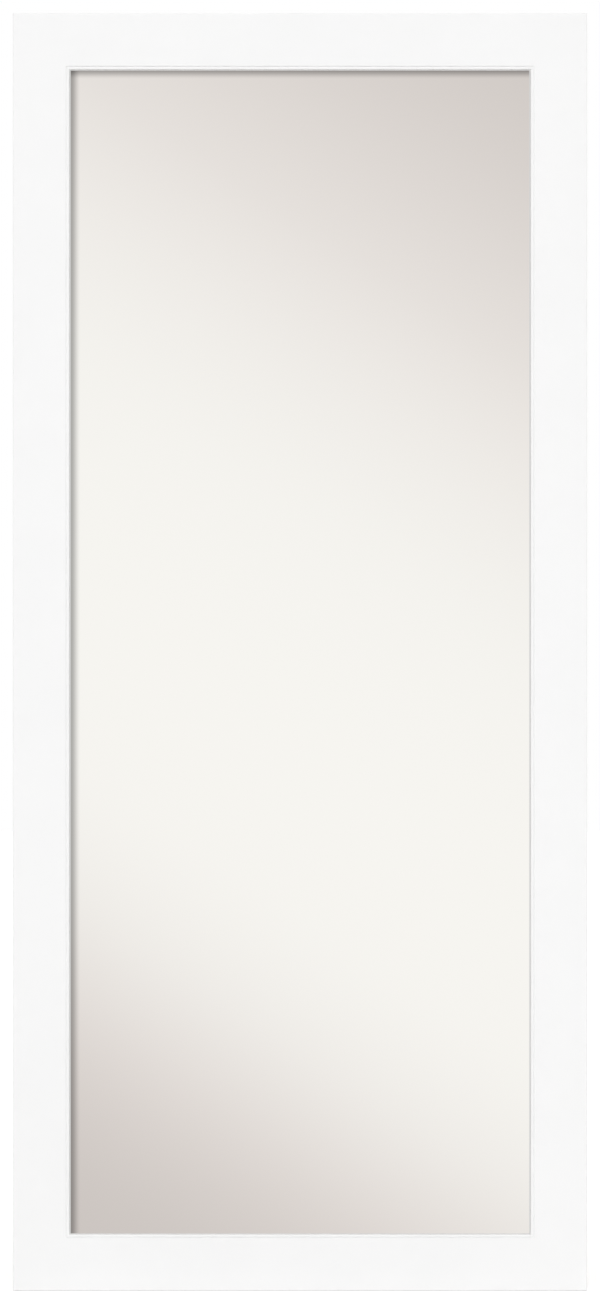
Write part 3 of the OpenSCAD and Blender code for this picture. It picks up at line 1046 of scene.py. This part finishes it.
bumper_template = bumper((bumper_high.y - bumper_low.y) / MM)
bumper_x = bumper_high.x - BUMPER_RADIUS * MM
bumper_top = bumper_high.z - BUMPER_RADIUS * MM
bumper_drop = bumper_low.z + BUMPER_RADIUS * MM - bumper_top
bumpers = run_tree("bumper_set", grid_tree, {
    "Part": bumper_template, "Columns": 2, "Rows": 2,
    "First": (-bumper_x, bumper_high.y, bumper_top),
    "Column Step": (2 * bumper_x, 0, 0), "Row Step": (0, 0, bumper_drop),
    "Turn": 0.0, "Seed": 0, "Finish": rubber,
})
keep_piece(bumpers, "frame", ["door_bumpers"])

# %% [markdown]
# ## Retaining points
#
# Thin zinc plated tabs hold the backing board in. A tool drives the sharp end of each into
# the wall of the rebate. The visible end has rounded corners, a pressed rib along its
# middle for stiffness, and is bent up a little, so that it can be lifted. All of that is
# two functions of the place on the tab: how wide it is, and how high.

# %% Outline and rib of a point
POINT_HALF, POINT_GRIP, POINT_TAIL = 3.0, 6.0, 9.0
POINT_ROUND, POINT_TIP_HALF = 1.2, 0.3
RIB_HALF, RIB_HEIGHT, RIB_FADE = 0.8, 0.32, 0.5
RIB_START, RIB_END = -7.2, -1.6
TAIL_LIFT, LIFT_FROM = 0.45, -6.0


def smooth(value, start, end):
    share = min(1.0, max(0.0, (value - start) / (end - start)))
    return share * share * (3 - 2 * share)


def point_half_width(x):
    if x > POINT_GRIP - POINT_HALF:
        return max(POINT_TIP_HALF, POINT_GRIP - x)
    from_end = x + POINT_TAIL
    if from_end < POINT_ROUND:
        short = POINT_ROUND - from_end
        return POINT_HALF - POINT_ROUND + math.sqrt(POINT_ROUND ** 2 - short ** 2)
    return POINT_HALF


def point_height(x, z):
    lift = TAIL_LIFT * smooth(-x, -LIFT_FROM, POINT_TAIL) ** 1.5
    starts = smooth(x, RIB_START - RIB_FADE, RIB_START + RIB_FADE)
    ends = smooth(-x, -RIB_END - RIB_FADE, -RIB_END + RIB_FADE)
    crown = 1 - smooth(abs(z), 0.15, RIB_HALF)
    return lift + RIB_HEIGHT * starts * ends * crown


print(f"point {POINT_GRIP + POINT_TAIL:.0f} mm long, {2 * POINT_HALF:.0f} mm wide")

# %% [markdown]
# The tab is a grid of points along and across it, denser where it curves. Solidify gives it
# its thickness, and Bevel softens its edges, by less than the grid's step next to them.

# %% One retaining point
POINT_SOFT = 0.05
POINT_CORNER_STEPS = 5

point_low, point_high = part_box("retaining_points")


def retaining_point():
    turns = [math.pi / 2 * i / POINT_CORNER_STEPS for i in range(POINT_CORNER_STEPS + 1)]
    stations = [POINT_ROUND * (1 - math.cos(turn)) - POINT_TAIL for turn in turns]
    stations += [-7.6, -7.2, -6.8, -6.4, -5.6, -4.4, -3.2, -2.4, -2.0, -1.6, -0.8, 0.0, 1.5]
    stations += [POINT_GRIP - POINT_HALF, 4.0, 5.0, 5.6, POINT_GRIP]
    shares = [-1, -0.6, -0.27, -0.18, -0.09, 0, 0.09, 0.18, 0.27, 0.6, 1]
    shape = bmesh.new()
    grid = []
    for x in stations:
        places = [(x, share * point_half_width(x)) for share in shares]
        grid.append([shape.verts.new(Vector((x, point_height(x, z), z)) * MM) for x, z in places])
    for first, second in zip(grid, grid[1:]):
        for i in range(len(shares) - 1):
            shape.faces.new((first[i], second[i], second[i + 1], first[i + 1]))
    shape.normal_update()
    if next(iter(shape.faces)).normal.y < 0:
        bmesh.ops.reverse_faces(shape, faces=shape.faces)
    part = piece_from(shape, "retaining_point")
    thicken = part.modifiers.new("thickness", "SOLIDIFY")
    thicken.thickness = point_high.y - point_low.y
    thicken.offset = 1.0
    soften = part.modifiers.new("edges", "BEVEL")
    soften.width = POINT_SOFT * MM
    soften.segments = 2
    soften.limit_method = "ANGLE"
    soften.angle_limit = math.radians(50)
    return part


point_template = retaining_point()

# %% [markdown]
# A second tree drives the points into the rebate: it lays out the right side and the top,
# and turns a copy of both half a turn for the left side and the bottom.

# %% Points round the rebate
POINTS_ON_A_SIDE, POINTS_ON_AN_END = 5, 2


def moved(tree, geometry, **how):
    return add_node(tree, "GeometryNodeTransform", {"Geometry": geometry, **how}).outputs[0]


def joined(tree, *geometries):
    join = add_node(tree, "GeometryNodeJoinGeometry")
    for geometry in geometries:
        tree.links.new(geometry, join.inputs[0])
    return join.outputs[0]


def points_on_edge(tree, given, count, length, far, runs, faces, turn):
    """A row of points along one edge. runs and faces are the axes along it and outwards."""
    pitch = maths(tree, "DIVIDE", given[length], given[count])
    first = maths(tree, "MULTIPLY_ADD", given[length], -0.5, maths(tree, "MULTIPLY", pitch, 0.5))
    wall = maths(tree, "MULTIPLY", given[far], 0.5)
    start = add_node(tree, "ShaderNodeCombineXYZ", {runs: first, faces: wall}).outputs[0]
    step = add_node(tree, "ShaderNodeCombineXYZ", {runs: pitch}).outputs[0]
    places = row(tree, given[count], start, step)
    return copies(tree, places, part_from(tree, given["Part"]), (0, turn, 0))


def round_the_rebate_tree():
    tree, given = new_tree("round_the_rebate", [
        ("Part", "Object"), ("Width", "Float"), ("Height", "Float"), ("On a Side", "Int"),
        ("On an End", "Int"), ("Middle", "Vector"), ("Finish", "Material"),
    ])
    side = points_on_edge(tree, given, "On a Side", "Height", "Width", "Z", "X", 0.0)
    end = points_on_edge(tree, given, "On an End", "Width", "Height", "X", "Z", -math.pi / 2)
    half = joined(tree, side, end)
    whole = joined(tree, half, moved(tree, half, Rotation=(0, math.pi, 0)))
    return end_tree(tree, moved(tree, whole, Translation=given["Middle"]), given["Finish"])


points = run_tree("retaining_point_set", round_the_rebate_tree(), {
    "Part": point_template,
    "Width": 2 * (board_high.x + REBATE_GAP), "Height": board_high.z - board_low.z + 2 * REBATE_GAP,
    "On a Side": POINTS_ON_A_SIDE, "On an End": POINTS_ON_AN_END,
    "Middle": (0, point_low.y, middle_z), "Finish": zinc,
})
keep_piece(points, "frame", ["retaining_points"])

for template in (screw_template, washer_template, bumper_template, point_template):
    bpy.data.objects.remove(template)

# %% [markdown]
# ## Hooks
#
# The straps are satin nickel, brushed along their length. The anisotropic setting of the
# shader could stretch their highlights, but it needs a direction at every point. Here the
# scratches themselves are drawn: noise that is very fine across the strap and long along
# it, so it uses the place across the strap at full scale and hardly any of the other two.

# %% Brushed nickel
def brushed_nickel():
    material, tree = new_material("brushed_nickel")
    place, _, _, _ = place_on_piece(tree)
    lines = speckle(tree, place, 0.16 * MM, 3.0, (1, 0.008, 0.008))
    bands = speckle(tree, place, 0.45 * MM, 4.0, (1, 0.012, 0.012))
    cloud = speckle(tree, place, 25 * MM)
    tone = fade(tree, weigh(tree, (bands, 0.7), (cloud, 0.3)), 0.25, 0.75)
    colour = mix_colours(tree, tone, linear(196, 196, 196), linear(174, 175, 178))
    rough = fade(tree, bands, 0.25, 0.75, 0.26, 0.36)
    bump = relief(tree, lines, 0.010 * MM, 0.8)
    surface(tree, Base_Color=colour, Metallic=1.0, Roughness=rough, Normal=bump)
    return material


nickel = brushed_nickel()

# %% [markdown]
# Each hook is one strap of steel, stamped with a long slot and folded twice: up behind the
# frame, back over the door, and down behind the door. The stretches of the folded strap add
# up to the length of its flat blank. The slot lets the strap slide on its two screws, so
# their places and the strap's travel give the slot's length.

# %% Lengths of the strap
STRAP_THICK = 1.5 * MM
OUTER_BEND = 3.5 * MM
TAIL_DROP = 45 * MM
SLOT_HALF = 2.75 * MM
QUARTER = math.pi / 2

bend_length = (OUTER_BEND - STRAP_THICK / 2) * QUARTER
bend_z = hook_high.z - OUTER_BEND
# The folded strap from its lower end on: each stretch's length and how far it turns
strap_path = (
    (bend_z - hook_low.z, 0),
    (bend_length, QUARTER),
    (hook_high.y - hook_low.y - 2 * OUTER_BEND, 0),
    (bend_length, QUARTER),
    (bend_z + TAIL_DROP, 0),
)
blank_length = sum(length for length, _ in strap_path)
travel = frame["record"]["behaviour"]["joints"][0]["range_m"][1]
slot_start = lower_z - travel - hook_low.z - SLOT_HALF
slot_end = upper_z - hook_low.z + SLOT_HALF
print(f"blank {blank_length / MM:.1f} mm long, slot {(slot_end - slot_start) / MM:.1f} mm")

# %% [markdown]
# Stamping and plating leave the edges slightly rounded, and that rounding is what catches
# the light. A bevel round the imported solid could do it, but it goes wrong where loose
# triangles meet the slot. So the strap is made as on the press. First comes the flat blank:
# a filled curve whose second closed outline is the slot. Its extrusion gives the metal's
# thickness, and its bevel the rounded edges.

# %% Stamp the blank
STRAP_EDGE, STRAP_CORNER = 0.22 * MM, 5 * MM
ARC_STEPS = 8
MERGE_DISTANCE = 0.002 * MM


def rounded_outline(half, start, end, corner, steps):
    """Points round a long shape with round corners, as distances across and along it."""
    points = []
    corners = ((1, end - corner), (-1, end - corner), (-1, start + corner), (1, start + corner))
    for quarter, (side, along) in enumerate(corners):
        for step in range(steps + 1):
            angle = QUARTER * (quarter + step / steps)
            across = side * (half - corner) + corner * math.cos(angle)
            points.append((across, along + corner * math.sin(angle)))
    return [p for i, p in enumerate(points) if math.dist(p, points[i - 1]) > MERGE_DISTANCE]


def flat_blank():
    curve = bpy.data.curves.new("blank", "CURVE")
    curve.dimensions = "2D"
    curve.fill_mode = "BOTH"
    curve.extrude = STRAP_THICK / 2 - STRAP_EDGE
    curve.bevel_depth = STRAP_EDGE
    curve.bevel_resolution = 2
    curve.offset = -STRAP_EDGE
    for outline in (
        rounded_outline(strap_half, 0, blank_length, STRAP_CORNER, ARC_STEPS),
        rounded_outline(SLOT_HALF, slot_start, slot_end, SLOT_HALF, ARC_STEPS),
    ):
        spline = curve.splines.new("POLY")
        spline.points.add(len(outline) - 1)
        for point, (across, along) in zip(spline.points, outline):
            point.co = (across, along, 0, 1)
        spline.use_cyclic_u = True
    blank = bpy.data.objects.new("blank", curve)
    scene.collection.objects.link(blank)
    graph = bpy.context.evaluated_depsgraph_get()
    mesh = bpy.data.meshes.new_from_object(blank.evaluated_get(graph))
    bpy.data.objects.remove(blank)
    return mesh


blank_mesh = flat_blank()
print(f"blank: {len(blank_mesh.polygons)} faces")

# %% [markdown]
# Then the blank is folded. Cuts across it where the bends come give it the edges to bend
# at, and each point is carried to its place along the folded path: the walk adds up the
# straight stretches and the bends, each bend as the chord of its arc. Last, the thin
# triangles that the filled curve left in its flat faces are joined up again.

# %% Fold the straps
STEPS_IN_BEND = 8
SAME_PLANE = math.radians(0.5)


def marks_along(path, longest_step):
    """Distances along a path: evenly on its straight stretches, and closer in its bends."""
    marks, start = [0.0], 0.0
    for length, turn in path:
        count = STEPS_IN_BEND if turn else max(1, round(length / longest_step))
        marks += [start + length * step / count for step in range(1, count + 1)]
        start += length
    return marks


def carried(path, start, across, along, out):
    """The point that lies that far across, along and out from a folded path. start is the
    path's first Y and Z and its heading: 0 is up, a quarter turn is back over the door."""
    y, z, heading = start
    for length, turn in path:
        step = min(along, length)
        turned = turn * step / length
        chord = 2 * length / turn * math.sin(turned / 2) if turn else step
        y += chord * math.sin(heading + turned / 2)
        z += chord * math.cos(heading + turned / 2)
        heading += turned
        along -= step
    return Vector((across, y - out * math.cos(heading), z + out * math.sin(heading)))


def folded_strap(side, middle_x):
    shape = bmesh.new()
    shape.from_mesh(blank_mesh)
    bmesh.ops.remove_doubles(shape, verts=shape.verts, dist=MERGE_DISTANCE)
    for mark in marks_along(strap_path, blank_length)[1:-1]:
        everything = shape.verts[:] + shape.edges[:] + shape.faces[:]
        place = (0, mark, 0)
        bmesh.ops.bisect_plane(shape, geom=everything, plane_co=place, plane_no=(0, 1, 0))
    start = (hook_low.y + STRAP_THICK / 2, hook_low.z, 0.0)
    for point in shape.verts:
        across, along, out = point.co
        point.co = carried(strap_path, start, middle_x + across, along, out)
    shape.normal_update()
    bmesh.ops.dissolve_limit(shape, angle_limit=SAME_PLANE, verts=shape.verts, edges=shape.edges)
    bmesh.ops.recalc_face_normals(shape, faces=shape.faces)
    return piece_from(shape, f"{side}_strap")


for side, sign in (("left", -1), ("right", 1)):
    strap = folded_strap(side, sign * hook_x)
    strap.data.materials.append(nickel)
    keep_piece(strap, f"{side}_hook", [f"{side}_hook"])

# %% [markdown]
# ## Hook pads
#
# A strip of closed-cell foam lines the inside of each hook, so that it doesn't mark the
# door. The foam's cut skin shows fine cells. Noise would look like dust, so a Voronoi
# pattern draws them, because it splits a surface into cells too.

# %% Foam
CELL_SIZE = 0.55 * MM


def cell_foam():
    material, tree = new_material("cell_foam")
    place, _, _, _ = place_on_piece(tree)
    scale = {"Vector": place, "Scale": 1 / CELL_SIZE}
    cells = add_node(tree, "ShaderNodeTexVoronoi", scale).outputs["Distance"]
    cloud = speckle(tree, place, 6 * MM, 3.0)
    tone = fade(tree, weigh(tree, (cells, 0.5), (cloud, 0.5)), 0.2, 0.7)
    colour = mix_colours(tree, tone, linear(30, 30, 32), linear(58, 58, 60))
    bump = relief(tree, cells, 0.12 * MM, 0.7)
    surface(tree, Base_Color=colour, Roughness=0.92, Normal=bump)
    return material


foam = cell_foam()

# %% [markdown]
# The strip is a soft rounded section, carried along the inside of the fold by the same walk
# as the strap: back over the door, round the bend, and down.

# %% Foam strips
FOAM_FOLD, FOAM_EDGE, FOAM_STEP = 1.35 * MM, 0.38 * MM, 1.5 * MM


def foam_strip(side):
    low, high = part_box(f"{side}_hook_pad")
    # the pad rests on the door's top edge, at z = 0
    thick = high.z
    middle_x = (high.x + low.x) / 2
    reach = thick / 2 + FOAM_FOLD
    path = (
        (high.y - reach - low.y, 0),
        (FOAM_FOLD * QUARTER, QUARTER),
        (high.z - reach - low.z, 0),
    )
    start = (low.y, high.z - thick / 2, QUARTER)
    section = rounded_outline((high.x - low.x) / 2, -thick / 2, thick / 2, FOAM_EDGE, 4)
    shape = bmesh.new()
    loops = [
        [shape.verts.new(carried(path, start, middle_x + across, along, out)) for across, out in section]
        for along in marks_along(path, FOAM_STEP)
    ]
    shape.faces.new(loops[0])
    shape.faces.new(loops[-1])
    join_loops(shape, zip(loops, loops[1:]))
    return piece_from(shape, f"{side}_foam_strip")


for side in ("left", "right"):
    strip = foam_strip(side)
    strip.data.materials.append(foam)
    keep_piece(strip, f"{side}_hook", [f"{side}_hook_pad"], 60)
